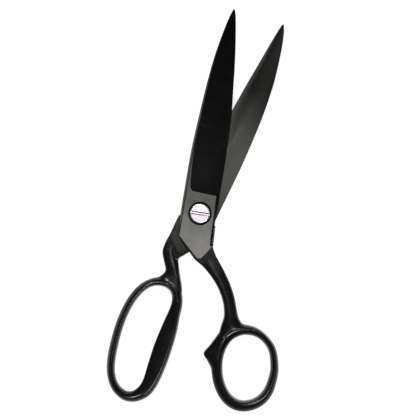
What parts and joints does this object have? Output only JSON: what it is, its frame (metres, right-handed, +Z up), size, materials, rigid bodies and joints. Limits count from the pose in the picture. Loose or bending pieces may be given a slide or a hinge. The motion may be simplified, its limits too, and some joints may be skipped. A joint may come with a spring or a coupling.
{
  "type": "fabric shears",
  "caption": "Left-handed bent-handle fabric shears: dark steel blades set in black enamelled handles with a round thumb bow and a long finger bow, joined by a slotted pivot screw.",
  "frame": {"origin": "on the pivot axis, at the end face of the pivot screw, in the plane that the shears lie on", "axes": "+Y from the pivot to the tip of the lower blade, +Z up along the pivot axis towards the slotted screw head, +X towards the back of the lower blade and the thumb bow's side"},
  "size_m": [0.1191, 0.2545, 0.012],
  "materials": {
    "blade_steel": "ground and darkened steel, satin",
    "handle_enamel": "gloss black enamel on cast iron",
    "screw_chrome": "bright plated steel",
    "washer_steel": "dark spring steel",
    "plated_steel": "zinc plated steel"
  },
  "bodies": {
    "lower_half": {"lower_blade": "blade_steel", "lower_handle": "handle_enamel", "pivot_screw": "screw_chrome", "head_washer": "washer_steel", "back_washer": "plated_steel", "lock_nut": "plated_steel"},
    "upper_half": {"upper_blade": "blade_steel", "upper_handle": "handle_enamel"}
  },
  "joints": [
    {"name": "pivot", "type": "hinge", "parent": "lower_half", "child": "upper_half", "pos_m": [0, 0, 0.006], "axis": [0, 0, 1], "range_deg": [-13, 45]}
  ]
}
